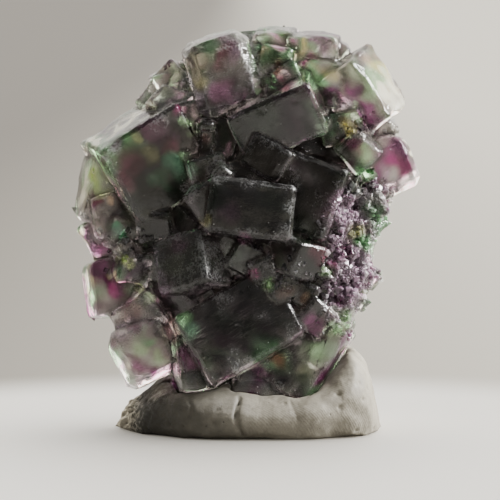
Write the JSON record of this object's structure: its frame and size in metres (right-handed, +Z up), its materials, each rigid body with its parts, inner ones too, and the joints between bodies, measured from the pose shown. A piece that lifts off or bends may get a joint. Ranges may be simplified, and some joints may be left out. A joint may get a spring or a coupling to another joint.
{
  "type": "fluorite crystal cluster on a putty base",
  "caption": "Upright cluster of intergrown, frosted purple and green fluorite cubes, its foot pressed into a flat-bottomed lump of grey-beige mineral putty.",
  "frame": {"origin": "on the surface that the putty rests on, at the base mount, under the middle of the cluster", "axes": "+Z up, +X to the right of the best side, -Y out of the best side"},
  "size_m": [0.0664, 0.0369, 0.0765],
  "materials": {
    "fluorite": "clear purple and green zoned crystal, frosted at its edges",
    "putty": "matt grey-beige putty with finger marks"
  },
  "bodies": {
    "root": {"fluorite_cluster": "fluorite", "putty_base": "putty"}
  },
  "joints": []
}
